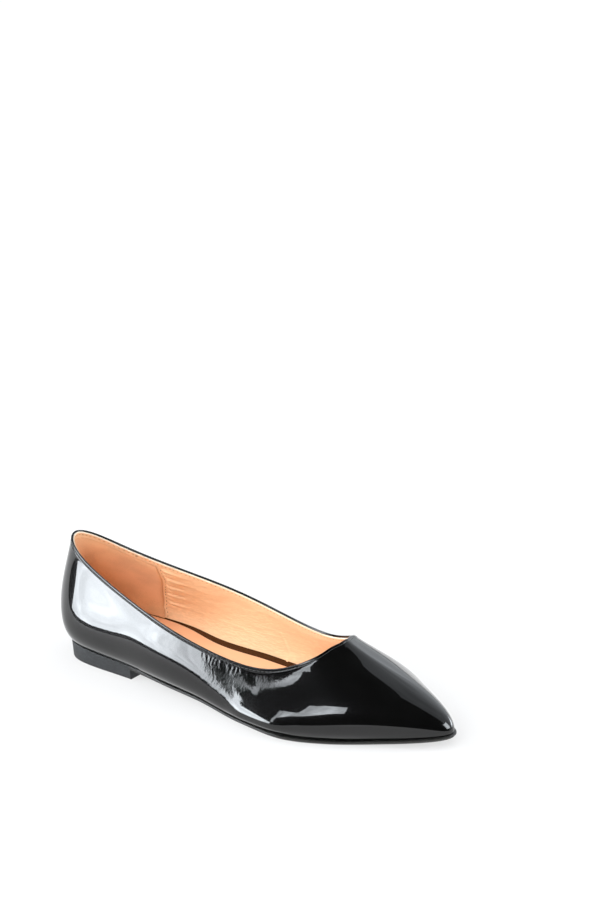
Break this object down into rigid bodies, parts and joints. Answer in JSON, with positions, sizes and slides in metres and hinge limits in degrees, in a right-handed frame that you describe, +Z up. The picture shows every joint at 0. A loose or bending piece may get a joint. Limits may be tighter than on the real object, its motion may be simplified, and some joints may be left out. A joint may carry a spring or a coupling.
{
  "type": "pointed toe flat shoe",
  "caption": "Low patent slip-on shoe for the right foot, with a pointed toe, a low V throat, a rolled topline, a thin sole and a low D-shaped heel.",
  "frame": {"origin": "on the floor under the middle of the shoe's box", "axes": "+X from heel to toe, +Y towards the inner side of the foot, +Z up"},
  "size_m": [0.2664, 0.0826, 0.0671],
  "materials": {
    "patent_upper": "glossy black patent outside, smooth peach lining inside",
    "heel_grip": "matt tan suede-like lining",
    "insole_sock": "matt peach sock over a dark brown board",
    "outsole_rubber": "matt black, fine ridge round the edge",
    "heel_rubber": "matt black, finely mottled"
  },
  "bodies": {
    "root": {"upper": "patent_upper", "heel_grip": "heel_grip", "insole": "insole_sock", "outsole": "outsole_rubber", "heel": "heel_rubber"}
  },
  "joints": []
}
